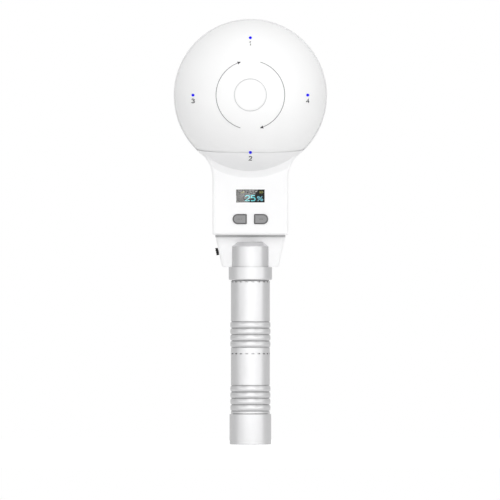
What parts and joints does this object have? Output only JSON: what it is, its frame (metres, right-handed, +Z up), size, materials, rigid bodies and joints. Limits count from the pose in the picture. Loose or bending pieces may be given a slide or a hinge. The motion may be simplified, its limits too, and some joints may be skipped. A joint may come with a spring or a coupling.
{
  "type": "handheld light meter",
  "caption": "Light meter with a ball head and turning white diffuser dome, flat neck with display and push buttons, tapered block with side switch, ribbed round grip with screw-off tail cap.",
  "frame": {"origin": "mouth of the tripod socket, on the grip's axis at the tail cap's end face", "axes": "+Z up along the grip towards the ball head, front (dome, display, buttons) towards -Y, +X to the right seen from the front"},
  "size_m": [0.1226, 0.1022, 0.3405],
  "materials": {
    "housing_white": "satin",
    "diffuser_white": "matte, translucent",
    "metal_satin": "satin turned",
    "metal_inner": "turned",
    "steel": "machined",
    "dark_steel": "blackened",
    "brass": "nickel-free, plain",
    "gasket_grey": "matte",
    "seal_black": "matte",
    "washer_grey": "matte",
    "button_grey": "matte",
    "knob_black": "matte",
    "felt_black": "felt",
    "ring_plastic": "moulded",
    "shutter_grey": "matte black",
    "board_green": "solder mask",
    "diode_dark": "clear over silicon",
    "pane": "clear, lightly smoked",
    "display_dark": "glossy",
    "ribbon": "film",
    "wire": "insulation",
    "cell_wrap": "wrapped"
  },
  "bodies": {
    "meter_body": {"bearing_ring": "metal_inner", "retaining_ring": "steel", "retaining_ring_screws": "dark_steel", "friction_felt": "felt_black", "sensor_board": "board_green", "photodiodes": "diode_dark", "sensor_board_screws": "steel", "sensor_ribbon": "ribbon", "front_housing": "housing_white", "rear_cover": "housing_white", "housing_screws": "dark_steel", "display_window": "pane", "display_module": "display_dark", "main_board": "board_green", "main_board_screws": "steel", "button_switches": "knob_black", "block_gasket": "gasket_grey", "mount_block": "housing_white", "block_screws": "dark_steel", "power_switch_body": "steel", "head_socket": "metal_satin", "socket_screws": "dark_steel", "collar_washer": "washer_grey", "grip_tube": "metal_satin", "contact_board": "board_green", "positive_contact": "brass", "power_leads": "wire", "battery_cell": "cell_wrap"},
    "dome": {"dome": "diffuser_white", "centre_window": "diffuser_white", "dome_carrier_ring": "ring_plastic", "shutter_disc": "shutter_grey"},
    "button_left": {"button_left": "button_grey"},
    "button_right": {"button_right": "button_grey"},
    "power_switch_knob": {"power_switch_knob": "knob_black"},
    "tail_contact": {"tail_contact": "brass", "tail_spring": "steel"},
    "tail_cap": {"tail_cap": "metal_satin", "tail_seal": "seal_black", "tripod_insert": "brass"}
  },
  "joints": [
    {"name": "dome_turn", "type": "hinge", "parent": "meter_body", "child": "dome", "pos_m": [0, -0.008, 0.2792], "axis": [0, 1, 0], "range_deg": [0, 45]},
    {"name": "left_press", "type": "slide", "parent": "meter_body", "child": "button_left", "axis": [0, 1, 0], "range_m": [0, 0.0008], "stiffness_N_per_m": 1200},
    {"name": "right_press", "type": "slide", "parent": "meter_body", "child": "button_right", "axis": [0, 1, 0], "range_m": [0, 0.0008], "stiffness_N_per_m": 1200},
    {"name": "switch_slide", "type": "slide", "parent": "meter_body", "child": "power_switch_knob", "axis": [0.2095, 0, -0.9778], "range_m": [0, 0.0025]},
    {"name": "tail_lift", "type": "slide", "parent": "meter_body", "child": "tail_contact", "axis": [0, 0, -1], "range_m": [0, 0.0062]},
    {"name": "tail_turn", "type": "hinge", "parent": "tail_contact", "child": "tail_cap", "pos_m": [0, 0, 0], "axis": [0, 0, -1], "range_deg": [0, 1440]}
  ],
  "couplings": [
    {"joint": "tail_lift", "follows": "tail_turn", "m_per_rad": 0.00023873}
  ]
}
